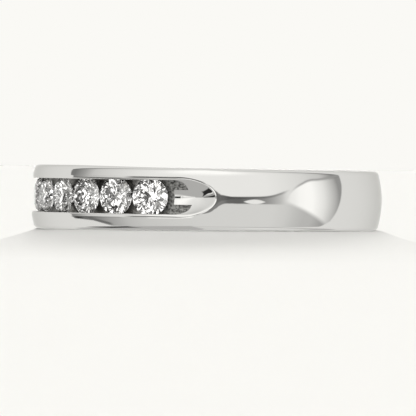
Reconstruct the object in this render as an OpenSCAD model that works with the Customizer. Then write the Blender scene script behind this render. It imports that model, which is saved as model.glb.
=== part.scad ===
// Channel set band: a white-gold ring with a row of round brilliants between two rails.
// The finger hole's axis is Z, the middle of the head points to -X and the back of the shank to +X.
// The origin is on the finger hole's axis, halfway up the band. All lengths are in millimetres.

/* [Shank] */
// Diameter of the finger hole
bore_d = 17.35; // [15.5:0.05:20]
// Wall from the finger hole to the crown of the dome at the head
head_t = 2.07; // [1.95:0.01:2.4]
// Wall from the finger hole to the crown of the dome at the back
back_t = 1.67; // [1.4:0.01:1.95]
// Width of the band across the head
head_w = 3.88; // [3.5:0.01:4.6]
// Width of the band at the back
back_w = 3.62; // [3.2:0.01:4.2]
// Radius of the dome across the band
dome_r = 6; // [4:0.1:12]
// Rounding of the two outer edges
edge_r = 0.3; // [0.15:0.01:0.45]
// Rounding of the two rims of the finger hole
rim_r = 0.25; // [0.1:0.01:0.35]

/* [Stones] */
// Number of stones in the row
stone_count = 11; // [5:2:13]
// Diameter of each stone at its girdle
stone_d = 2.22; // [2:0.01:2.3]
// Space between two neighbouring girdles
stone_gap = 0.045; // [0.03:0.005:0.12]
// Depth of the tables below the edge of the rails
table_set = 0.13; // [0.1:0.01:0.2]
// Width of a table as a share of the stone's diameter
table_share = 0.57; // [0.53:0.01:0.62]
// Height of a crown as a share of the stone's diameter
crown_share = 0.145; // [0.12:0.005:0.155]
// Thickness of a girdle as a share of the stone's diameter
girdle_share = 0.03; // [0.025:0.005:0.04]
// Depth of a pavilion as a share of the stone's diameter
pavilion_share = 0.43; // [0.41:0.005:0.44]

/* [Channel] */
// How far the lips of the rails cover the girdles
lip_cover = 0.11; // [0.08:0.01:0.16]
// Width of the bevel on the inner edge of each rail
bevel_w = 0.2; // [0.12:0.01:0.26]
// Drop of the bevel from the edge of the rail to the lip
bevel_drop = 0.2; // [0.14:0.01:0.22]
// Clear space between a stone and the metal round it
seat_gap = 0.03; // [0.02:0.005:0.05]
// Depth of the channel's floor below the crown of the dome
floor_depth = 1.19; // [1.05:0.01:1.3]
// Diameter of the culet hole under each stone, at the channel's floor
culet_hole_d = 1.08; // [1:0.01:1.3]
// Diameter of the culet hole at the finger hole
culet_vent_d = 0.74; // [0.5:0.01:0.9]
// Length of open floor past the last stone
run_out = 0.55; // [0.3:0.05:0.8]

/* [Arched ends] */
// Length of the arch from the straight rails to its tip
arch_len = 2.23; // [1.9:0.01:2.6]
// Slope of the scoop under the arch
scoop_slope = 31; // [28:0.5:34]
// Width of the tongue between the two pockets at the channel's end
tongue_w = 0.9; // [0.6:0.05:1.1]
// Length of each pocket past the open floor
pocket_len = 0.8; // [0.5:0.05:1]
// Step from the open floor up to the pockets' floors
pocket_step = 0.03; // [0.02:0.01:0.2]
// Length that the lips run on past the open floor
lip_run = 0.18; // [0:0.01:0.4]

/* [Hidden] */
function stone_name(i) = str("stone_", i < 10 ? "0" : "", i);
$fn = 96;

metal = [0.86, 0.86, 0.85];
gem = [0.93, 0.96, 1, 0.85];
// Reach of the cutting shapes past the surface that they cut
over = 1;

// Shank: the outside is a circle set off towards the head, and its width falls evenly to the back
bore_r = bore_d / 2;
outer_r = bore_r + (head_t + back_t) / 2;
outer_x = (back_t - head_t) / 2;
half_w = (head_w + back_w) / 4;
side_tilt = atan((head_w - back_w) / (4 * outer_r));
dome_c = outer_r - dome_r;

// Stone: heights are measured from the top of the girdle
facet = 45;
girdle_r = stone_d / 2;
table_r = girdle_r * table_share;
crown_h = stone_d * crown_share;
girdle_h = stone_d * girdle_share;
pavilion_h = stone_d * pavilion_share;
star_reach = 0.5;
star_r = table_r * cos(facet / 2) + star_reach * (girdle_r - table_r * cos(facet / 2));
star_z = crown_h * (girdle_r - star_r * cos(facet / 2)) / (girdle_r - table_r);
lower_reach = 0.22;
main_r = girdle_r * lower_reach;
main_z = pavilion_h * (1 - lower_reach * cos(facet / 2));
// Dip of a round girdle where it crosses the middle of a girdle facet
bow = girdle_r * (1 / cos(facet / 4) - 1);
upper_dip = star_z * bow / (girdle_r - star_r);
lower_dip = main_z * bow / (girdle_r - main_r);

// Channel: radii are measured from the axis of the outside circle
opening = girdle_r - lip_cover;
rail_edge = opening + bevel_w;
rail_r = dome_c + sqrt(pow(dome_r, 2) - pow(rail_edge, 2));
lip_r = rail_r - bevel_drop;
table_level = rail_r - table_set;
girdle_top = table_level - crown_h;
girdle_bottom = girdle_top - girdle_h;
floor_r = outer_r - floor_depth;
groove = girdle_r + seat_gap;
crown_slope = atan(star_z / (girdle_r - star_r));
pavilion_slope = atan(main_z / (girdle_r - main_r));
pitch = 2 * asin((stone_d + stone_gap) / (girdle_top + girdle_bottom));
last_stone = pitch * (stone_count - 1) / 2;
degree_at = 180 / PI;
slot_end = last_stone + asin(girdle_r / girdle_bottom) + run_out / girdle_bottom * degree_at;
arch_tip = slot_end + (lip_run + arch_len) / outer_r * degree_at;
pocket_r = (opening + seat_gap - tongue_w / 2) / 2;
pocket_mid = tongue_w / 2 + pocket_r;
pocket_end = slot_end + (pocket_len - pocket_r) / floor_r * degree_at;
culet_hole_len = floor_r - bore_r - outer_x;

function polar(ang, r) = [r * cos(ang), r * sin(ang)];
function ring_point(ang, r, z) = [r * cos(ang), r * sin(ang), z];
// Points on an arc in equal steps
function arc(c, r, a0, a1, n) = [for (i = [0:n]) c + polar(a0 + (a1 - a0) * i / n, r)];

// Tilts a shape with one side face of the band, about the axis of the outside circle
module with_side_face() {
    translate([outer_x, 0, 0]) rotate([0, side_tilt, 0]) children();
}

// Everything under one side face, with the outer edge rounded into the dome
module under_side_face() {
    reach = outer_r + over;
    c = [dome_c + sqrt(pow(dome_r - edge_r, 2) - pow(half_w - edge_r, 2)), half_w - edge_r];
    meet = atan2(c[1], c[0] - dome_c) + 4;
    edge = arc(c, edge_r, meet, 90, 8);
    with_side_face() rotate_extrude()
        polygon(concat([[0, -2 * half_w], [reach, -2 * half_w], [reach, edge[0][1] - over]], edge, [[0, half_w]]));
}

// What is cut away to round one rim of the finger hole
module rim_cut() {
    c = [bore_r + rim_r, half_w - rim_r];
    with_side_face() translate([-outer_x, 0, 0]) rotate_extrude()
        polygon(concat(
            [[bore_r - over, half_w + over], [bore_r - over, c[1] - rim_r]],
            arc(c, rim_r, 174, 96, 8),
            [[c[0] + rim_r, half_w + over]]));
}

// The plain ring before the channel is cut
module blank() {
    difference() {
        intersection() {
            translate([outer_x, 0, 0]) rotate_extrude() intersection() {
                translate([dome_c, 0]) circle(r = dome_r);
                translate([0, -2 * half_w]) square([outer_r + over, 4 * half_w]);
            }
            under_side_face();
            mirror([0, 0, 1]) under_side_face();
        }
        cylinder(r = bore_r, h = 6 * half_w, center = true);
        rim_cut();
        mirror([0, 0, 1]) rim_cut();
    }
}

// Section of the channel: bevel, lip, bearing groove for the girdle, wall and floor
function channel_half() = [
    [outer_r + over, rail_edge + (outer_r + over - rail_r) * bevel_w / bevel_drop],
    [lip_r, opening],
    [girdle_top + seat_gap + (groove - opening) * tan(crown_slope), opening],
    [girdle_top + seat_gap, groove],
    [girdle_bottom - seat_gap, groove],
    [girdle_bottom - seat_gap - (groove - opening) * tan(pavilion_slope), opening],
    [floor_r, opening]
];

module channel_cut() {
    right = channel_half();
    left = [for (i = [len(right) - 1:-1:0]) [right[i][0], -right[i][1]]];
    rotate([0, 0, 180 - slot_end]) rotate_extrude(angle = 2 * slot_end) polygon(concat(right, left));
}

// One pocket beside the tongue, with a round end
module pocket(side) {
    rotate([0, 0, 180 + pocket_end]) translate([floor_r + pocket_step, 0, side * pocket_mid])
        rotate([0, 90, 0]) linear_extrude(girdle_top - floor_r - pocket_step) {
            circle(r = pocket_r);
            translate([-pocket_r, -pocket_len]) square([2 * pocket_r, pocket_len]);
        }
}

// A round-bottomed trough that rises along the scoop's slope to the arch's tip.
// Past the arch's length it keeps between the lips, and it stops at the channel's floor.
module scoop() {
    high = outer_r / 3;
    straight = arch_len * cos(scoop_slope);
    difference() {
        rotate([0, 0, 180 + arch_tip]) translate([outer_r, 0, 0]) rotate([0, 0, -scoop_slope])
            rotate([0, 90, 0]) rotate([90, 0, 0]) difference() {
                translate([0, rail_edge, -over]) linear_extrude(arch_len * 1.3 + over) {
                    circle(r = rail_edge);
                    translate([-rail_edge, 0]) square([2 * rail_edge, high]);
                }
                for (side = [0, 1]) mirror([side, 0, 0]) translate([opening, -over, straight])
                    cube([over, high + over + rail_edge + over, arch_len]);
            }
        cylinder(r = floor_r, h = 6 * half_w, center = true);
    }
}

module arched_end() {
    scoop();
    for (side = [-1, 1]) pocket(side);
}

// Tapered hole under a stone, from the channel's floor to the finger hole
module culet_hole(i) {
    lead = over / 5;
    flare = (culet_hole_d - culet_vent_d) / 2 * lead / culet_hole_len;
    rotate([0, 0, stone_angle(i)]) translate([floor_r + lead, 0, 0]) rotate([0, -90, 0])
        cylinder(d1 = culet_hole_d + 2 * flare, d2 = culet_vent_d - 2 * flare, h = culet_hole_len + 2 * lead);
}

function stone_angle(i) = 180 + pitch * (i - (stone_count + 1) / 2);

module band() {
    color(metal) difference() {
        blank();
        translate([outer_x, 0, 0]) {
            channel_cut();
            arched_end();
            mirror([0, 1, 0]) arched_end();
            for (i = [1:stone_count]) culet_hole(i);
        }
    }
}

// A round brilliant with its girdle's top at height 0 and its table up
module brilliant() {
    t = 0;
    s = 8;
    u = 16;
    l = 48;
    j = 80;
    points = concat(
        [for (k = [0:7]) ring_point(facet * k, table_r, crown_h)],
        [for (k = [0:7]) ring_point(facet * (k + 0.5), star_r, star_z)],
        [for (k = [0:31]) ring_point(facet / 4 * k, girdle_r, -(k % 2) * upper_dip)],
        [for (k = [0:31]) ring_point(facet / 4 * k, girdle_r, (k % 2) * lower_dip - girdle_h)],
        [for (k = [0:7]) ring_point(facet * (k + 0.5), main_r, -girdle_h - main_z)],
        [[0, 0, -girdle_h - pavilion_h]]);
    culet = len(points) - 1;
    faces = concat(
        [[for (k = [7:-1:0]) t + k]],
        [for (k = [0:7]) [t + k, t + (k + 1) % 8, s + k]],
        [for (k = [0:7]) [t + k, s + k, u + 4 * k, s + (k + 7) % 8]],
        [for (k = [0:7]) [s + k, u + 4 * k + 2, u + 4 * k + 1, u + 4 * k]],
        [for (k = [0:7]) [s + k, u + (4 * k + 4) % 32, u + 4 * k + 3, u + 4 * k + 2]],
        [for (k = [0:31]) [u + k, u + (k + 1) % 32, l + (k + 1) % 32, l + k]],
        [for (k = [0:7]) [j + k, l + 4 * k, l + 4 * k + 1, l + 4 * k + 2]],
        [for (k = [0:7]) [j + k, l + 4 * k + 2, l + 4 * k + 3, l + (4 * k + 4) % 32]],
        [for (k = [0:7]) [l + 4 * k, j + k, culet, j + (k + 7) % 8]]);
    polyhedron(points, faces);
}

module stone(i) {
    color(gem) translate([outer_x, 0, 0]) rotate([0, 0, stone_angle(i)]) translate([girdle_top, 0, 0])
        rotate([0, 90, 0]) rotate([0, 0, 17 * i]) brilliant();
}

band();
for (i = [1:stone_count]) stone(i);
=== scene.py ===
import math

import bpy
import numpy as np
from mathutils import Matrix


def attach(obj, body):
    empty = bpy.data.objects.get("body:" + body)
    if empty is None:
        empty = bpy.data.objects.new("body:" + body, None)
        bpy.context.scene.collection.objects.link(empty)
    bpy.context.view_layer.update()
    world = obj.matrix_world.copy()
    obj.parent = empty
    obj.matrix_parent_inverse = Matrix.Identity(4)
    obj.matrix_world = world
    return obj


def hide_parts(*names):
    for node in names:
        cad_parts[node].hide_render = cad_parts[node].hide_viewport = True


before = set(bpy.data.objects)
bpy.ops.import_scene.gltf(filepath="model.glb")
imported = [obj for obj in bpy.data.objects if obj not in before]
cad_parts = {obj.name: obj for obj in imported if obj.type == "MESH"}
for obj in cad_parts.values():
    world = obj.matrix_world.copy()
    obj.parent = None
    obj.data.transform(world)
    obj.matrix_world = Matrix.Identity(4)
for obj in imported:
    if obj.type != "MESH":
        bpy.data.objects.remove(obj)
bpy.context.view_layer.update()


# The view. The ring lies on its side and is seen level with its middle, from the side on which the
# row of stones ends, with the middle of the row turned a little towards the lens.

# lengths are in metres where MM stands with them and else in mm, and turns in degrees
MM = 0.001
HEAD_TURN = 5.25
CAMERA_DISTANCE = 500 * MM
CAMERA_RISE = 2.6 * MM
CAMERA_ROLL = 0.82
PHOTO_SIDE = 416
RING_CENTRE_PX = (206.8, 196.85)
PX_PER_MM = 16.67
SENSOR_WIDTH = 36
# the band's outside is round about an axis a little nearer the head than the finger hole's
OUTER_AXIS_X = -0.2

view = math.radians(HEAD_TURN)
sideways = np.array([math.cos(view), -math.sin(view), 0.0])
backwards = np.array([-math.sin(view), -math.cos(view), 0.0])
roll = math.radians(CAMERA_ROLL)
off_x = (PHOTO_SIDE / 2 - RING_CENTRE_PX[0]) / PX_PER_MM
off_z = (RING_CENTRE_PX[1] - PHOTO_SIDE / 2) / PX_PER_MM
aim_side = off_x * math.cos(roll) - off_z * math.sin(roll)
aim_up = off_x * math.sin(roll) + off_z * math.cos(roll)
aim = (np.array([OUTER_AXIS_X, 0, 0]) + sideways * aim_side + np.array([0, 0, aim_up])) * MM
beside_axis = np.array([OUTER_AXIS_X * MM, 0, CAMERA_RISE])
place = beside_axis + backwards * CAMERA_DISTANCE + sideways * aim_side * MM

lens = bpy.data.cameras.new("product_lens")
lens.sensor_fit = "HORIZONTAL"
lens.sensor_width = SENSOR_WIDTH
lens.lens = SENSOR_WIDTH * CAMERA_DISTANCE / (PHOTO_SIDE / PX_PER_MM * MM)
lens.clip_start = 10 * MM
lens.clip_end = 20000 * MM
camera = bpy.data.objects.new("product_camera", lens)
bpy.context.scene.collection.objects.link(camera)
look = aim - place
pan = math.atan2(-look[0], look[1])
tilt = math.atan2(look[2], math.hypot(look[0], look[1]))
camera.location = place
camera.rotation_euler = (math.pi / 2 + tilt, -roll, pan)
bpy.context.scene.camera = camera


# The band: one white-gold casting, domed and polished outside, plain inside. Two rails run round its
# head with a channel cast between them, and each end of the channel is scooped out to a blunt arch. The
# outside lies a little off the channel's middle.

# sizes in mm, and turns in degrees from the middle of the row
BORE_R = 8.675
OUTER_R = 10.545
DOME_R = 6.0
DOME_CENTRE = OUTER_R - DOME_R
EDGE_R, RIM_R = 0.3, 0.25
HEAD_HALF, SHANK_HALF = 1.915, 1.775
TAPER_FROM, TAPER_TO = 25, 105
OFF_CENTRE = 0.107

# the channel: half its width between the rails' edges, at its mouth and in the bearing grooves that
# hold the girdles, the radii of the grooves' points, and the floor
RAIL_EDGE = 1.195
OPENING = 1.0
GROOVE = 1.14
LIP_UNDER, GIRDLE_TOP, GIRDLE_BOTTOM, GROOVE_UNDER = 10.115, 10.0, 9.87, 9.747
FLOOR_R = 9.35
GROOVE_RUNS_OUT = 0.8

# the tongue at the row's end with a short slit in it, and the pocket on either side of it
TONGUE_FROM = 73.8
TONGUE_HALF = 0.45
TONGUE_TOP = 0.97
SLIT_TO, SLIT_DEPTH, SLIT_END = 76.1, 0.2, 0.4
POCKET_FROM = 73.9
POCKET_TO_TOP, POCKET_TO_FOOT = 78.5, 79.8
STEP = 0.05

# the arch: the scoop's slope and depth, the rounding of its valley, and the land and the shoulder on
# the two sides of its crease, which change over the last degrees before the tip
ARCH_FROM, ARCH_TIP = 75.4, 88.2
SCOOP_STEEP, SCOOP_DEEPEST = 1.0, 1.3
VALLEY_ROUND, VALLEY_SHARP_AT = 0.26, 82
LAND_W, LAND_W_AT_TIP = 0.11, 0.05
BRINK_ROUND, BRINK_ROUND_AT_TIP = 0.02, 0.08
LAND_NARROWS_FROM = ARCH_TIP - 5
SHOULDER_W, SHOULDER_W_AT_TIP = 0.03, 0.6
SHOULDER_WIDENS_FROM, SHOULDER_WIDENS_TO = ARCH_TIP - 6, ARCH_TIP - 1
LEVEL_FROM, LEVEL_FADES = ARCH_TIP - 1.4, 2.2

# the mesh: points along half a section, the least distances between them, where they part again past
# the arch's tip, and the sections, as (from, to, steps), closest where the shapes change most
CREASE_PIECES = 200
FLOOR_POINTS, POCKET_POINTS, SLOPE_POINTS, LAND_POINTS = 9, 6, 12, 9
DOME_POINTS, EDGE_POINTS, RIM_POINTS, BORE_POINTS = 19, 9, 8, 7
SHOULDER_POINTS = np.array([0.3, 0.65])
THIN, HAIR, BEVEL_FROM = 0.02, 0.002, 0.015
TONGUE_SHARE, POCKET_SHARE = 0.4, 0.85
PARTS_TO, PARTS_OVER = 1.1, 6
SECTIONS = ((0, 71, 40), (71, 73.6, 5), (73.6, 74, 4), (74, 84, 45), (84, 88.6, 46), (88.6, 93, 11),
            (93, 180, 49))


def ease(x, low, high):
    """A smooth step from 0 at low to 1 at high: 3 t squared less 2 t cubed, with t even between them."""
    t = np.clip((x - low) / (high - low), 0, 1)
    return t * t * (3 - 2 * t)


def mix(a, b, share):
    """a where the share is 0, b where it is 1, and even between them."""
    return a + (b - a) * share


def bore(turn):
    """Distance from the outer axis to the finger hole's wall, a circle about its own axis, in a direction
    so many degrees from the head."""
    a = np.radians(turn)
    return OUTER_AXIS_X * np.cos(a) + np.sqrt(BORE_R**2 - (OUTER_AXIS_X * np.sin(a)) ** 2)


def arch_half(turn):
    """Half the width between the rails' edges: straight along the rails, then half an ellipse to the tip."""
    share = np.clip((turn - ARCH_FROM) / (ARCH_TIP - ARCH_FROM), 0, 1)
    return RAIL_EDGE * np.sqrt(1 - share**2)


def shoulder(turn, z, off):
    """Radius outside the crease: the dome, a circle of DOME_R about DOME_CENTRE whose middle is off by so
    much, and whose slope across the band eases to none at the crease, over a shoulder that widens towards
    the arch's tip. Past the tip a level strip goes on from the crease and dies away with the shoulder."""
    past_join, past_tip = np.maximum(turn - LEVEL_FROM, 0), np.maximum(turn - ARCH_TIP, 0)
    level = arch_half(np.minimum(turn, LEVEL_FROM)) * np.exp(-past_join / LEVEL_FADES)
    width = mix(SHOULDER_W, SHOULDER_W_AT_TIP, ease(turn, SHOULDER_WIDENS_FROM, SHOULDER_WIDENS_TO))
    width = width * np.exp(-past_tip / LEVEL_FADES) + HAIR / 2
    into = np.clip(width - (z - level), 0, width)
    off_middle = (z + off) ** 2 + np.maximum(level**2 - z**2, 0)
    on_dome = DOME_CENTRE + np.sqrt(DOME_R**2 - off_middle)
    # the dome's slope, about z over DOME_R, times the share that is eased away, summed over the shoulder
    return on_dome - ((level + width) * into**2 / 2 - into**3 / 3) / (DOME_R * width)


def to_crease(turn, z):
    """Shortest distance from points inside the arch to its crease, and the turn from the head of that
    nearest place. The outside is unrolled flat, the crease is taken as short straight pieces, and the
    nearest place on each piece is compared with the best one so far."""
    mm_per_degree = math.radians(OUTER_R)
    round_arch = np.sin(np.linspace(0, math.pi / 2, CREASE_PIECES))
    along = np.concatenate([[-1.0], mix(ARCH_FROM, ARCH_TIP, round_arch)])
    half = arch_half(along)
    turn, z = np.broadcast_arrays(turn, z)
    best, near = np.full(turn.shape, np.inf), np.zeros(turn.shape)
    for i in range(len(along) - 1):
        piece = np.array([(along[i + 1] - along[i]) * mm_per_degree, half[i + 1] - half[i]])
        away = np.stack([(turn - along[i]) * mm_per_degree, z - half[i]], axis=-1)
        share = np.clip(away @ piece / (piece @ piece), 0, 1)
        distance = np.linalg.norm(away - share[..., None] * piece, axis=-1)
        near = np.where(distance < best, mix(along[i], along[i + 1], share), near)
        best = np.minimum(best, distance)
    return best, near


def scoop(turn, z, off):
    """Radius of the polished surface inside the crease. First comes a narrow land that faces straight out,
    and then it falls away, steeply at first, with the distance to the crease, so the two sides meet in a
    valley, which is a little rounded near the tongue. Past the tip it is the shoulder's surface."""
    rounding = VALLEY_ROUND * (1 - ease(turn, TONGUE_FROM, VALLEY_SHARP_AT))
    distance, near_turn = to_crease(turn, np.sqrt(z**2 + rounding**2))
    near = arch_half(near_turn)
    at_tip = ease(turn, LAND_NARROWS_FROM, ARCH_TIP)
    past_land = distance - mix(LAND_W, LAND_W_AT_TIP, at_tip)
    past_land = (past_land + np.sqrt(past_land**2 + mix(BRINK_ROUND, BRINK_ROUND_AT_TIP, at_tip) ** 2)) / 2
    depth = SCOOP_DEEPEST * (1 - np.exp(-past_land * SCOOP_STEEP / SCOOP_DEEPEST))
    brink = shoulder(near_turn, near, off * np.clip(z / np.maximum(near, THIN), 0, 1))
    return np.where(turn > ARCH_TIP, shoulder(turn, z, off), brink - depth)


def half_section(turn, pocket_to, off):
    """Radius and height of the points of half a section at each turn from the head: from the middle of the
    outside, over the channel or scoop, the rail, the dome, the side and the rim, to the middle of the
    finger hole's wall. The pocket beside the tongue ends at pocket_to, and the outside is off by so much."""
    turn = turn[:, None]
    # past the tip the crease opens again on the dome, where it is no edge and only spreads the mesh
    edge = np.maximum(arch_half(turn), THIN) + PARTS_TO * ease(turn, ARCH_TIP, ARCH_TIP + PARTS_OVER)
    half = mix(HEAD_HALF, SHANK_HALF, ease(turn, TAPER_FROM, TAPER_TO))
    on_tongue = ease(turn, TONGUE_FROM - STEP, TONGUE_FROM + STEP)
    closed = ease(turn, pocket_to - 2 * STEP, pocket_to)
    grooved = 1 - ease(turn, TONGUE_FROM, TONGUE_FROM + GROOVE_RUNS_OUT)
    # the pocket's inner wall is the tongue's side, and its outer wall bends in to meet it
    bend = np.sqrt(1 - np.clip((turn - POCKET_FROM) / (pocket_to - POCKET_FROM), 0, 1) ** 2)
    inner = np.minimum(TONGUE_HALF, edge * TONGUE_SHARE)
    outer = inner + THIN + np.where(turn < pocket_to, (OPENING - TONGUE_HALF - THIN) * bend, 0)
    outer = np.minimum(outer, edge * POCKET_SHARE)
    rows = []

    def line(r, z):
        """Adds points given as radius and height, each a column or a whole block."""
        r, z = np.broadcast_arrays(r + 0 * turn, z + 0 * turn)
        rows.append(np.stack([r, z], axis=2))

    # the channel's floor or the tongue
    z = inner * np.linspace(0, TONGUE_TOP, FLOOR_POINTS)
    slit = SLIT_DEPTH * ease(turn, SLIT_TO, SLIT_TO - SLIT_END) * (z == 0)
    line(mix(FLOOR_R, scoop(turn, z, off) - slit, on_tongue), z)
    # the tongue's side and the pocket's floor
    brow = mix(FLOOR_R, scoop(turn, inner, off), on_tongue)
    line(mix(brow, brow - THIN, on_tongue * (1 - closed)), inner)
    line(mix(FLOOR_R + THIN * on_tongue, scoop(turn, inner + HAIR, off), closed), inner + HAIR)
    z = mix(inner + 2 * HAIR, outer - 2 * HAIR, np.linspace(0, 1, POCKET_POINTS))
    line(mix(FLOOR_R, scoop(turn, z, off), closed), z)
    # the outer wall, as (share of the height where it is plain, radius where it is grooved, cut in or
    # not): the bearing groove under the lip along the row, plain in the pocket
    lip = scoop(turn, outer, off)
    wall = ((0.04, GROOVE_UNDER, 0), (0.2, GIRDLE_BOTTOM, 1), (0.36, GIRDLE_TOP, 1), (0.5, LIP_UNDER, 0))
    for plain, in_groove, cut_in in wall:
        z = outer + (GROOVE - OPENING) * cut_in * grooved
        line(mix(mix(mix(FLOOR_R, lip, plain), in_groove, grooved), lip, closed), z)
    line(lip - THIN * (1 - closed), outer)
    line(scoop(turn, outer + 4 * HAIR, off), outer + 4 * HAIR)
    # the lip's bevel or the scoop's slope, then the narrow land along the crease
    land = np.minimum(2 * LAND_W, (edge - outer) / 2)
    z = mix(outer + BEVEL_FROM, edge - land, np.linspace(0, 1, SLOPE_POINTS, endpoint=False))
    line(scoop(turn, z, off), z)
    z = edge - land * (1 - np.linspace(0, 1, LAND_POINTS))
    line(scoop(turn, z, off), z)
    # the dome, the rounded edge, the flat side, the rim and the finger hole's wall
    z_edge = half - EDGE_R
    r_edge = DOME_CENTRE + np.sqrt((DOME_R - EDGE_R) ** 2 - z_edge**2)
    meet = np.arctan2(z_edge, r_edge - DOME_CENTRE)
    z = edge + SHOULDER_W * SHOULDER_POINTS
    line(shoulder(turn, z, off), z)
    z = mix(edge + SHOULDER_W, z_edge - off + EDGE_R * np.sin(meet), np.linspace(0, 1, DOME_POINTS))
    line(shoulder(turn, z, off), z)
    a = mix(meet, math.pi / 2, np.linspace(0, 1, EDGE_POINTS + 1)[1:])
    line(r_edge + EDGE_R * np.cos(a), z_edge - off + EDGE_R * np.sin(a))
    hole = bore(turn)
    a = np.linspace(math.pi / 2, math.pi, RIM_POINTS)
    line(hole + RIM_R + RIM_R * np.cos(a), half - off - RIM_R + RIM_R * np.sin(a))
    line(hole, (half - off - RIM_R) * np.linspace(1, 0, BORE_POINTS + 1)[1:])
    return np.concatenate(rows, axis=1)


# the turns run from the head to the back and on, round the other side, to the head again
to_back = np.concatenate([*(np.linspace(*run, endpoint=False) for run in SECTIONS), [SECTIONS[-1][1]]])
turns = np.concatenate([to_back, -to_back[-2:0:-1]])
upper = half_section(np.abs(turns), POCKET_TO_TOP, OFF_CENTRE)
lower = half_section(np.abs(turns), POCKET_TO_FOOT, -OFF_CENTRE)[:, -2:0:-1] * np.array([1, -1])
section = np.concatenate([upper, lower], axis=1)
angle = np.radians(turns)[:, None]
points = np.stack([OUTER_AXIS_X - section[..., 0] * np.cos(angle), -section[..., 0] * np.sin(angle),
                   section[..., 1]], axis=2) * MM


def wrapped_mesh(name, points):
    """A closed skin over sections, an array of columns by points by three, that wraps round both ways."""
    columns, n = points.shape[:2]
    u, k = np.meshgrid(np.arange(columns), np.arange(n), indexing="ij")
    next_u, next_k = (u + 1) % columns, (k + 1) % n
    quads = np.stack([u * n + k, next_u * n + k, next_u * n + next_k, u * n + next_k], axis=-1)
    mesh = bpy.data.meshes.new(name)
    mesh.from_pydata(points.reshape(-1, 3), [], quads.reshape(-1, 4))
    mesh.polygons.foreach_set("use_smooth", np.ones(len(mesh.polygons), dtype=bool))
    return mesh


band_mesh = wrapped_mesh("white_gold_band", points)
band = bpy.data.objects.new("white_gold_band", band_mesh)
bpy.context.scene.collection.objects.link(band)


def put(value, socket):
    """Sets a socket to a number or colour, or joins it to another node's output."""
    if isinstance(value, bpy.types.NodeSocket):
        socket.id_data.links.new(value, socket)
    else:
        socket.default_value = value


def add(tree, kind, inputs, **settings):
    """Adds a node of a kind, with its settings, and fills its inputs by name."""
    node = tree.nodes.new("ShaderNode" + kind)
    for name, value in settings.items():
        setattr(node, name, value)
    for name, value in inputs.items():
        put(value, node.inputs[name])
    return node


def calc(operation, *values, clamp=False):
    """One step of arithmetic on results of other nodes and numbers, in the tree of the first result."""
    tree = next(value.id_data for value in values if isinstance(value, bpy.types.NodeSocket))
    return add(tree, "Math", dict(enumerate(values)), operation=operation, use_clamp=clamp).outputs[0]


def fade(value, low, high):
    """A smooth step of a result from 0 at low to 1 at high, where low may also be the greater one."""
    ends = {"Value": value, "From Min": min(low, high), "From Max": max(low, high),
            "To Min": int(low > high), "To Max": int(low < high)}
    return add(value.id_data, "MapRange", ends, interpolation_type="SMOOTHSTEP").outputs["Result"]


def blend(share, a, b):
    """a where the share is 0, b where it is 1."""
    return calc("ADD", calc("MULTIPLY", share, b), calc("MULTIPLY", calc("SUBTRACT", 1, share), a))


def new_material(name, colour, metallic, roughness):
    """A material whose Principled node gets these values, with its tree and its Object coordinates."""
    material = bpy.data.materials.new(name)
    material.use_nodes = True
    tree = material.node_tree
    shader = tree.nodes["Principled BSDF"]
    for name, value in (("Base Color", (*colour, 1)), ("Metallic", metallic), ("Roughness", roughness)):
        shader.inputs[name].default_value = value
    return material, tree, shader, add(tree, "TexCoord", {}).outputs["Object"]


# mirror polish with a faint haze
POLISHED_GOLD, POLISHED_GLANCE = (0.72, 0.718, 0.71), (0.72, 0.72, 0.71, 1)
POLISH_ROUGH, HAZE_ROUGH = 0.025, 0.03
mean_rough = POLISH_ROUGH + HAZE_ROUGH / 2
polished, tree, shader, place_on_it = new_material("polished_white_gold", POLISHED_GOLD, 1, mean_rough)
shader.inputs["Specular Tint"].default_value = POLISHED_GLANCE
haze = add(tree, "TexNoise", {"Vector": place_on_it, "Scale": 900, "Detail": 4}).outputs["Fac"]
put(calc("ADD", POLISH_ROUGH, calc("MULTIPLY", haze, HAZE_ROUGH)), shader.inputs["Roughness"])

# the bare casting: dark and pale grains with small dents, and between the stones one even, lighter grey,
# which is painted light standing for the light that the gaps between the stones reflect
RAW_MEAN, RAW_ROUGH = (0.5, 0.5, 0.49), 0.4
DARK_GRAIN, PALE_GRAIN = (0.35, (0.10, 0.10, 0.097, 1)), (0.65, (0.52, 0.52, 0.505, 1))
PAINTED_LIGHT_BETWEEN_STONES, ROW_ENDS_X, ROW_X = (0.45, 0.445, 0.43, 1), -3.5, -4.2
DENT_DEPTH = 0.03
raw, tree, shader, place_on_it = new_material("raw_casting", RAW_MEAN, 1, RAW_ROUGH)
grain = add(tree, "TexNoise", {"Vector": place_on_it, "Scale": 6000, "Detail": 3}).outputs["Fac"]
patches = add(tree, "TexNoise", {"Vector": place_on_it, "Scale": 8000, "Detail": 3}).outputs["Fac"]
shade = add(tree, "ValToRGB", {"Fac": patches})
for stop, (position, colour) in zip(shade.color_ramp.elements, (DARK_GRAIN, PALE_GRAIN)):
    stop.position = position
    stop.color = colour
# painted light: from the row's ends towards the head the grains give way to the lighter even grey, for the
# light reflected between the stones
painted_light_in_row = fade(add(tree, "SeparateXYZ", {0: place_on_it}).outputs[0], ROW_ENDS_X * MM, ROW_X * MM)
bare = add(tree, "Mix", {"Factor": painted_light_in_row, "A": shade.outputs["Color"], "B": PAINTED_LIGHT_BETWEEN_STONES},
           data_type="RGBA")
put(bare.outputs["Result"], shader.inputs["Base Color"])
dents = add(tree, "Bump", {"Height": grain, "Strength": 1.0, "Distance": DENT_DEPTH * MM})
put(dents.outputs["Normal"], shader.inputs["Normal"])
band_mesh.materials.append(polished)
band_mesh.materials.append(raw)

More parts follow.
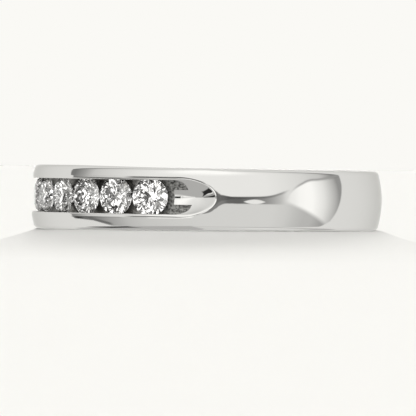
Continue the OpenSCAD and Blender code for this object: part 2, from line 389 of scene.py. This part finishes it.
# the channel's floor, walls and pockets are left as cast, from the middle out to the point at the lip,
# which comes after two points of the tongue's side, those of the pocket and four of the wall
ON_TONGUE = FLOOR_POINTS - 1
LIP_POINT = FLOOR_POINTS + 2 + POCKET_POINTS + 4
n = points.shape[1]
column, k = np.divmod(np.arange(len(band_mesh.polygons)), n)
on_upper = k < n // 2
k = np.where(on_upper, k, n - 1 - k)
turned = np.abs(turns[column])
under_stones = (k < ON_TONGUE) & (turned < TONGUE_FROM)
in_pocket = (k >= ON_TONGUE) & (k < LIP_POINT) & (turned < np.where(on_upper, POCKET_TO_TOP, POCKET_TO_FOOT))
band_mesh.polygons.foreach_set("material_index", (under_stones | in_pocket).astype(np.int32))

# a tapered culet hole under each stone, drilled from the floor through to the finger hole: cones about
# the stone's axis, cut longer than the wall at both ends
STONES_EACH_WAY, STONE_PITCH = 5, 13.09
HOLE_R_OUT, HOLE_R_IN = 0.54, 0.37
HOLE_SIDES = 48
DRILL_FROM, DRILL_TO = 8.3, 9.6
SHARP_ANGLE = 38
wall_r = BORE_R + OUTER_AXIS_X
end_r = np.array([DRILL_FROM, DRILL_TO])
hole_r = mix(HOLE_R_IN, HOLE_R_OUT, (end_r - wall_r) / (FLOOR_R - wall_r))
k, end, a = np.meshgrid(np.arange(-STONES_EACH_WAY, STONES_EACH_WAY + 1), [0, 1],
                        np.arange(HOLE_SIDES) * 2 * math.pi / HOLE_SIDES, indexing="ij")
turn = np.radians(k * STONE_PITCH)
across_hole, out = hole_r[end] * np.sin(a), end_r[end]
drilled = np.stack([OUTER_AXIS_X - out * np.cos(turn) + across_hole * np.sin(turn),
                    -out * np.sin(turn) - across_hole * np.cos(turn), hole_r[end] * np.cos(a)], axis=-1) * MM
around = np.arange(HOLE_SIDES)
next_round = (around + 1) % HOLE_SIDES
side = np.stack([around + HOLE_SIDES, next_round + HOLE_SIDES, next_round, around], axis=1)
one_cone = [*side, around, around[::-1] + HOLE_SIDES]
faces = [(face + 2 * HOLE_SIDES * i).tolist() for i in range(len(k)) for face in one_cone]
drill_mesh = bpy.data.meshes.new("drills")
drill_mesh.from_pydata(drilled.reshape(-1, 3), [], faces)
drill_mesh.materials.append(polished)
drill_mesh.materials.append(raw)
drill_mesh.polygons.foreach_set("material_index", np.ones(len(faces), dtype=np.int32))
drills = bpy.data.objects.new("drills", drill_mesh)
bpy.context.scene.collection.objects.link(drills)
cut = band.modifiers.new("culet_holes", "BOOLEAN")
cut.operation = "DIFFERENCE"
cut.solver = "MANIFOLD"
cut.object = drills
drilled_band = bpy.data.meshes.new_from_object(band.evaluated_get(bpy.context.evaluated_depsgraph_get()))
band.modifiers.remove(cut)
bpy.data.objects.remove(drills)
band.data = drilled_band
band.data.set_sharp_from_angle(angle=math.radians(SHARP_ANGLE))
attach(band, "root")
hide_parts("band")


# The stones: eleven round brilliants of cut diamond, as the frame has them, their frosted girdles held
# between the lips and the bearings of the channel. Above the girdle they are clear, and below it they
# are mirrors, in place of the full reflection there.
GIRDLE_FROM, GIRDLE_TO = 9.905, 9.972
DIAMOND_IOR = 2.417
GIRDLE_ROUGH = 0.5
diamond, tree, shader, place_in_it = new_material("cut_diamond", (1, 1, 1), 0, 0)
shader.inputs["IOR"].default_value = DIAMOND_IOR
x, y, z = add(tree, "SeparateXYZ", {0: place_in_it}).outputs
x = calc("SUBTRACT", x, OUTER_AXIS_X * MM)
from_axis = calc("SQRT", calc("ADD", calc("MULTIPLY", x, x), calc("MULTIPLY", y, y)))
pavilion = calc("LESS_THAN", from_axis, GIRDLE_FROM * MM)
put(pavilion, shader.inputs["Metallic"])
girdle = calc("MULTIPLY", calc("SUBTRACT", 1, pavilion), calc("LESS_THAN", from_axis, GIRDLE_TO * MM))
put(calc("MULTIPLY", girdle, GIRDLE_ROUGH), shader.inputs["Roughness"])
shader.inputs["Transmission Weight"].default_value = 1
for name in sorted(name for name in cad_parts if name.startswith("stone_")):
    for slot in bpy.data.objects[name].material_slots:
        slot.material = diamond


# The floor: pale paper over a low pad, from whose edge it falls away to its foot, steepest at first, so
# that the level lens sees the soft shadow in front of the ring. The band is narrower at its back, so the
# pad slants a little, to meet the rims of the head and of the back that the ring lies on.
PAD_EDGE, PAD_HEIGHT = 10.3, 1.6
PAD_FOOT_AHEAD, PAD_FOOT_ASIDE = 24.0, 19.0
RINGS_ON_PAD, RINGS_ON_SLOPE, RINGS_BEYOND = [0, 5, 9], 50, [30, 100, 500, 3000]
FLOOR_SIDES = 180
PAPER = (0.91, 0.902, 0.87, 1)
head_foot = (OUTER_AXIS_X - OUTER_R + EDGE_R, -HEAD_HALF - OFF_CENTRE)
back_foot = (OUTER_AXIS_X + OUTER_R - EDGE_R, -SHANK_HALF - OFF_CENTRE)
lean = (back_foot[1] - head_foot[1]) / (back_foot[0] - head_foot[0])
out = np.concatenate([RINGS_ON_PAD, np.linspace(PAD_EDGE, PAD_FOOT_AHEAD, RINGS_ON_SLOPE), RINGS_BEYOND])
out, a = np.meshgrid(out, np.linspace(0, 2 * math.pi, FLOOR_SIDES, endpoint=False), indexing="ij")
pad_foot = mix(PAD_FOOT_AHEAD, PAD_FOOT_ASIDE, np.cos(a + view) ** 2)
on_pad = np.clip((pad_foot - out) / (pad_foot - PAD_EDGE), 0, 1) ** 2
x, y = out * np.cos(a), out * np.sin(a)
z = head_foot[1] + lean * (x * on_pad - head_foot[0]) - PAD_HEIGHT * (1 - on_pad)
i, j = np.meshgrid(np.arange(out.shape[0] - 1) * FLOOR_SIDES, np.arange(FLOOR_SIDES), indexing="ij")
next_i, next_j = i + FLOOR_SIDES, (j + 1) % FLOOR_SIDES
quads = np.stack([i + j, next_i + j, next_i + next_j, i + next_j], axis=-1)
floor_mesh = bpy.data.meshes.new("pale_floor")
floor_mesh.from_pydata(np.stack([x, y, z], axis=-1).reshape(-1, 3) * MM, [], quads.reshape(-1, 4))
floor_mesh.polygons.foreach_set("use_smooth", np.ones(len(floor_mesh.polygons), dtype=bool))
floor = bpy.data.objects.new("pale_floor", floor_mesh)
bpy.context.scene.collection.objects.link(floor)
paper = bpy.data.materials.new("pale_paper")
paper.use_nodes = True
paper.node_tree.nodes["Principled BSDF"].inputs["Base Color"].default_value = PAPER
paper.node_tree.nodes["Principled BSDF"].inputs["Roughness"].default_value = 1
floor_mesh.materials.append(paper)
floor.visible_glossy = False
floor.visible_transmission = False


# The light: a soft white tent round the ring, with a lamp high over the lens. It hangs open at the back,
# where the plain backdrop shows, and has a dark slot for the lens and a bright panel at the right that
# falls off towards the tent's edge. The lens itself sees a backdrop as cream as the lit paper.

# every place in the tent is given in degrees, round from the lens, where right is positive, or up from
# level, and a pair of them is a soft edge, from where it is 0 to where it is 1
CREAM = (0.956, 0.947, 0.913)
TENT_CLOTH = (1.0, 0.993, 0.965, 1)
CURVE_TOP = 1.5

world = bpy.data.worlds.new("studio")
bpy.context.scene.world = world
world.use_nodes = True
tree = world.node_tree
tree.nodes.clear()


def by_direction(degrees, stops, join="VECTOR"):
    """A number that changes with a direction: stops are (degrees, number), from 0 to CURVE_TOP, joined by
    straight lines, or by a smooth curve where join is AUTO."""
    low, high = stops[0][0], stops[-1][0]
    share = calc("DIVIDE", calc("SUBTRACT", degrees, low), high - low, clamp=True)
    node = add(tree, "FloatCurve", {"Value": share})
    curve = node.mapping.curves[0]
    spots = [((stop - low) / (high - low), number / CURVE_TOP) for stop, number in stops]
    curve.points[0].location = spots[0]
    curve.points[1].location = spots[-1]
    for spot in spots[1:-1]:
        curve.points.new(*spot)
    for point in curve.points:
        point.handle_type = join
    node.mapping.update()
    return calc("MULTIPLY", node.outputs["Value"], CURVE_TOP)


def between(value, one_edge, other_edge):
    """1 between two soft edges, each given as where it is 0 and where it is 1, and 0 outside them."""
    return calc("MULTIPLY", fade(value, *one_edge), fade(value, *other_edge))


direction = add(tree, "TexCoord", {}).outputs["Generated"]
facing = add(tree, "Mapping", {"Vector": direction, "Rotation": (0, 0, view)}).outputs["Vector"]
across, along, up = add(tree, "SeparateXYZ", {0: facing}).outputs
round_lens = calc("MULTIPLY", calc("ARCTAN2", across, calc("MULTIPLY", along, -1)), 180 / math.pi)
height = calc("MULTIPLY", calc("ARCSINE", up), 180 / math.pi)
from_lens = calc("ABSOLUTE", round_lens)

# the tent's edges at the left and the right, in hundreds of degrees, and the plain backdrop past them
EDGE_UNIT = 100
SOFT = (0.6, -0.6)
BACKDROP = 0.956
left_edge = by_direction(height, [
    (-90, 0.3), (-35, 0.5), (-27.4, 0.68), (-19.8, 0.827), (-15.5, 1.0), (-12, 1.02), (0, 0.99), (15, 1.043),
    (18, 1.06), (20.6, 1.05), (26, 1.04), (35, 1.03), (90, 1.0)])
right_edge = by_direction(height, [
    (-90, 0.3), (-35, 0.6), (-25, 0.80), (-21, 0.875), (-16.2, 0.929), (-8.9, 0.96), (0.4, 0.989),
    (11.6, 1.022), (17, 1.03), (90, 1.03)])
at_right = calc("GREATER_THAN", round_lens, 0)
tent_edge = calc("MULTIPLY", blend(at_right, left_edge, right_edge), EDGE_UNIT)
in_tent = fade(calc("SUBTRACT", from_lens, tent_edge), *SOFT)

# the tent's wall above level, the ground below it, and the lamp high over the lens
TOP_LIGHT, TOP_FROM, TOP_WITHIN = 1.38, (25.5, 31), (42, 12)
wall = by_direction(round_lens, [
    (-110, 0.25), (-101, 0.26), (-92, 0.47), (-84, 0.76), (-76, 0.85), (-62, 0.95), (-48, 1.05), (-36, 1.10),
    (0, 1.10), (40, 1.10), (55, 1.02), (62, 0.97), (69, 0.92), (76, 0.84), (84, 0.76), (90, 0.55), (96, 0.33),
    (110, 0.3)])
ground = by_direction(round_lens, [
    (-110, 0.2), (-90, 0.22), (-84, 0.25), (-76, 0.36), (-69, 0.48), (-62, 0.57), (-55, 0.68), (-42, 0.78),
    (-20, 0.84), (0, 0.88), (45, 0.88), (55, 0.82), (62, 0.72), (69, 0.65), (76, 0.64), (84, 0.5), (92, 0.4),
    (110, 0.3)])
top_light = calc("MULTIPLY", fade(height, *TOP_FROM), fade(from_lens, *TOP_WITHIN))
tent = blend(top_light, wall, TOP_LIGHT)
tent = blend(fade(height, *SOFT), tent, ground)

# the panel: its roof climbs to the right, with a dark edge, and its foot falls from the panel's tip
ROOF_UNIT, ROOF_SOFT = 20, (-1, 1)
PANEL_TIP, FOOT_FALL, FOOT_AT_TIP, FOOT_SOFT = 54.5, 0.5, 2, (-2.5, 2.5)
ROOF_EDGE, ROOF_EDGE_FULL, ROOF_EDGE_ABOVE = 0.45, 0.8, 1.2
ROOF_EDGE_HALF, ROOF_EDGE_FROM = (1.5, 0.3), (56, 68)
panel = by_direction(round_lens, [
    (50, 1.05), (56, 1.12), (60, 1.18), (64, 1.28), (69, 1.32), (74, 1.32), (78.7, 1.19), (84, 1.046),
    (89, 0.83), (95, 0.573), (98, 0.4), (110, 0.4)])
roof = by_direction(round_lens, [
    (50, 0), (54, 0.03), (57, 0.3), (61, 0.53), (67.4, 0.73), (74.6, 0.86), (82, 0.85), (110, 0.88)], "AUTO")
under_roof = calc("SUBTRACT", calc("MULTIPLY", roof, ROOF_UNIT), height)
past_tip = calc("SUBTRACT", round_lens, PANEL_TIP)
over_foot = calc("ADD", calc("MULTIPLY", past_tip, FOOT_FALL), calc("ADD", height, FOOT_AT_TIP))
in_panel = calc("MULTIPLY", fade(under_roof, *ROOF_SOFT), fade(over_foot, *FOOT_SOFT))
roof_edge = fade(calc("ABSOLUTE", calc("ADD", under_roof, ROOF_EDGE_ABOVE)), *ROOF_EDGE_HALF)
roof_edge = calc("MULTIPLY", roof_edge, fade(round_lens, *ROOF_EDGE_FROM))
tent = blend(calc("MULTIPLY", roof_edge, ROOF_EDGE_FULL), tent, ROOF_EDGE)
tent = blend(in_panel, tent, panel)

# the slot for the lens, which is wider at its right end and darker close under its top, and has a
# bright patch in it, pointed at both ends
SLOT_UNIT, SLOT_TOP_SOFT = 10, (-0.8, 0.8)
SLOT_FOOT, SLOT_ENDS = (-5.2, -3.6), ((-58, -48), (58.5, 50))
UNDER_TOP, TOP_SHADE = (3.0, 1.0), 0.6
PATCH, PATCH_SOFT = 1.1, (1.15, 0.75)
PATCH_ROUND, PATCH_HEIGHT, PATCH_HALF_W, PATCH_HALF_H = 31.9, -2.1, 7.5, 2.6
slot_top = by_direction(round_lens, [
    (-60, 0.36), (34, 0.36), (39, 0.4), (43.6, 0.5), (48, 0.67), (53, 0.9), (58, 1.1), (60, 1.1)], "AUTO")
under_top = calc("SUBTRACT", calc("MULTIPLY", slot_top, SLOT_UNIT), height)
in_slot = calc("MULTIPLY", fade(height, *SLOT_FOOT), fade(under_top, *SLOT_TOP_SOFT))
in_slot = calc("MULTIPLY", in_slot, between(round_lens, *SLOT_ENDS))
slot = by_direction(round_lens, [
    (-60, 0.4), (-30, 0.25), (0, 0.3), (9.8, 0.27), (14, 0.18), (21.7, 0.17), (30, 0.25), (38, 0.35),
    (44, 0.5), (50, 0.7), (60, 1.1)])
slot = blend(fade(under_top, *UNDER_TOP), slot, calc("MULTIPLY", slot, TOP_SHADE))
from_patch = calc("DIVIDE", calc("SUBTRACT", round_lens, PATCH_ROUND), PATCH_HALF_W)
patch_rise = calc("DIVIDE", calc("ABSOLUTE", calc("SUBTRACT", height, PATCH_HEIGHT)), PATCH_HALF_H)
from_patch = calc("ADD", calc("MULTIPLY", from_patch, from_patch), patch_rise)
tent = blend(in_slot, tent, blend(fade(from_patch, *PATCH_SOFT), slot, PATCH))
everything = blend(in_tent, BACKDROP, tent)

# low down: the table under the ring, which the lower edge of the band shows, and which is plain at the
# left, where it also reaches a little higher
TABLE_PLAIN, PLAIN_ROUND, TABLE_BELOW = 0.57, (-4, -12), (-39, -43)
PLAIN_ENDS, PLAIN_BELOW = ((-8, -11), (-72, -66)), (-30, -35)
table = by_direction(height, [(-90, 0.75), (-78, 0.8), (-70, 0.97), (-57, 0.97), (-50, 0.62), (-30, 0.6)])
table = blend(fade(round_lens, *PLAIN_ROUND), table, TABLE_PLAIN)
above_table = calc("MULTIPLY", between(round_lens, *PLAIN_ENDS), fade(height, *PLAIN_BELOW))
everything = blend(above_table, everything, TABLE_PLAIN)
everything = blend(fade(height, *TABLE_BELOW), everything, table)

# at the left: two bright strips over and under level, two dark cloths, and a thin slanting seam
STRIPS, STRIP_ENDS, STRIP_OFF_LEVEL = 1.4, ((-8, -10), (-42, -36)), ((4.6, 6), (22, 19))
CLOTHS, CLOTH_ENDS = 0.03, ((-57, -60), (-100, -96))
LOW_CLOTH, LEVEL_CLOTH = ((-31, -33), (-56, -52)), ((-3.5, -5.5), (-17, -15.5))
SEAM, SEAM_ENDS, SEAM_HALF = 0.2, ((-67, -71), (-100, -96)), (1.8, 0.5)
SEAM_ROUND, SEAM_HEIGHT, SEAM_SLANT = -84, -17.9, 0.45
off_level = calc("ABSOLUTE", height)
in_strips = calc("MULTIPLY", between(round_lens, *STRIP_ENDS), between(off_level, *STRIP_OFF_LEVEL))
everything = blend(in_strips, everything, STRIPS)
in_cloths = calc("MAXIMUM", between(height, *LOW_CLOTH), between(height, *LEVEL_CLOTH))
in_cloths = calc("MULTIPLY", between(round_lens, *CLOTH_ENDS), in_cloths)
everything = blend(in_cloths, everything, CLOTHS)
along_seam = calc("MULTIPLY", calc("SUBTRACT", round_lens, SEAM_ROUND), SEAM_SLANT)
off_seam = calc("ADD", calc("SUBTRACT", height, SEAM_HEIGHT), along_seam)
in_seam = calc("MULTIPLY", between(round_lens, *SEAM_ENDS), fade(calc("ABSOLUTE", off_seam), *SEAM_HALF))
everything = blend(in_seam, everything, SEAM)
light = add(tree, "Background", {"Color": TENT_CLOTH, "Strength": everything})

# what the stones see through their crowns: small bright lamps and dark flags all round the ring
LAMPS_ACROSS, LAMP_FROM = 18.0, (0.3, 0.8)
FLAG, LAMP_OVER_FLAG = 0.03, 1.95
LAMP_COLOUR = (1, 0.99, 0.97, 1)
cells = add(tree, "TexVoronoi", {"Vector": facing, "Scale": LAMPS_ACROSS, "Randomness": 1.0}, feature="F1")
lamp = fade(add(tree, "SeparateXYZ", {0: cells.outputs["Color"]}).outputs[0], *LAMP_FROM)
lamp = calc("ADD", FLAG, calc("MULTIPLY", lamp, LAMP_OVER_FLAG))
sparkle = add(tree, "Background", {"Color": LAMP_COLOUR, "Strength": lamp})

# what the paper is lit by: two soft lamps halfway up, one at the back a little to the right, and one
# opposite, at the front, which is a little stronger
BACK_LAMP = (0.09, 0.996)
LAMP_NARROW, BACK_WEAKER, LAMP_STRENGTH = 12, 0.1, 10.6
LAMP_LOW, LAMP_HIGH = (10, 30), (60, 40)
facing_lamps = calc("ADD", calc("MULTIPLY", across, BACK_LAMP[0]), calc("MULTIPLY", along, BACK_LAMP[1]))
level_part = calc("SQRT", calc("SUBTRACT", 1, calc("MULTIPLY", up, up)))
to_lamps = calc("DIVIDE", facing_lamps, level_part)
weaker = calc("SUBTRACT", 1, calc("MULTIPLY", to_lamps, BACK_WEAKER))
lamps = calc("MULTIPLY", calc("POWER", calc("ABSOLUTE", to_lamps), LAMP_NARROW), weaker)
lamps = calc("MULTIPLY", lamps, between(height, LAMP_LOW, LAMP_HIGH))
soft = add(tree, "Background", {"Color": (1, 1, 1, 1), "Strength": calc("MULTIPLY", lamps, LAMP_STRENGTH)})

backdrop = add(tree, "Background", {"Color": (*CREAM, 1)})
seen = add(tree, "LightPath", {})
shown = light.outputs[0]
for ray, other in (("Is Diffuse Ray", soft), ("Is Transmission Ray", sparkle), ("Is Camera Ray", backdrop)):
    shown = add(tree, "MixShader", {"Fac": seen.outputs[ray], 1: shown, 2: other.outputs[0]}).outputs[0]
add(tree, "OutputWorld", {"Surface": shown})

# light passes many facets before it leaves a stone
STONE_BOUNCES, METAL_BOUNCES = 24, 12
bpy.context.scene.view_settings.view_transform = "Standard"
bpy.context.scene.cycles.caustics_reflective = False
bpy.context.scene.cycles.max_bounces = STONE_BOUNCES
bpy.context.scene.cycles.transmission_bounces = STONE_BOUNCES
bpy.context.scene.cycles.glossy_bounces = METAL_BOUNCES
